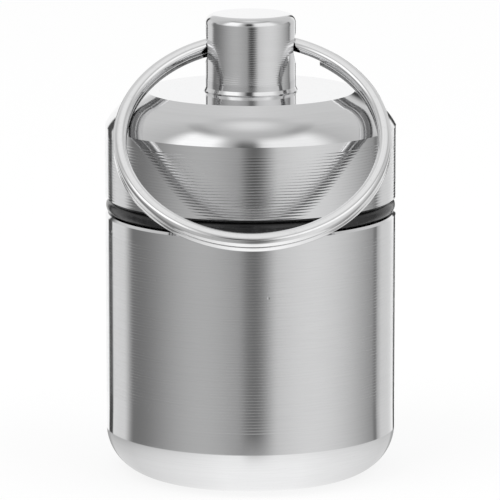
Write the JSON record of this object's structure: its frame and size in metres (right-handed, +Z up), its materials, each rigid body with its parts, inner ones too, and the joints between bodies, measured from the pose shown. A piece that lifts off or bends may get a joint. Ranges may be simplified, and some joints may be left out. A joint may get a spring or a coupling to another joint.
{
  "type": "earplug case keychain",
  "caption": "Small cylindrical metal case with a screw cap, a rubber seal and a cross-drilled post that carries a split key ring, for keeping earplugs on a key chain.",
  "frame": {"origin": "centre of the flat base the case stands on", "axes": "+Z up the case towards the post, -Y towards the side that the key ring hangs over, X along the cross hole of the post"},
  "size_m": [0.0254, 0.0306, 0.0405],
  "materials": {
    "case_metal": "turned and polished",
    "post_metal": "polished",
    "seal_rubber": "moulded, satin",
    "ring_steel": "nickel plated"
  },
  "bodies": {
    "case": {"cup": "case_metal"},
    "seal": {"seal_ring": "seal_rubber"},
    "cap": {"cap": "case_metal", "ring_post": "post_metal"},
    "ring": {"key_ring": "ring_steel"}
  },
  "joints": [
    {"name": "cap_turn", "type": "hinge", "parent": "case", "child": "seal", "pos_m": [0, 0, 0.02372], "axis": [0, 0, 1], "range_deg": [0, 1620]},
    {"name": "cap_lift", "type": "slide", "parent": "seal", "child": "cap", "axis": [0, 0, 1], "range_m": [0, 0.00562]},
    {"name": "ring_swing", "type": "hinge", "parent": "cap", "child": "ring", "pos_m": [0, 0, 0.03772], "axis": [-1, 0, 0], "range_deg": [0, 259.5]}
  ],
  "couplings": [
    {"joint": "cap_turn", "follows": "cap_lift", "rad_per_m": 5026.5}
  ]
}
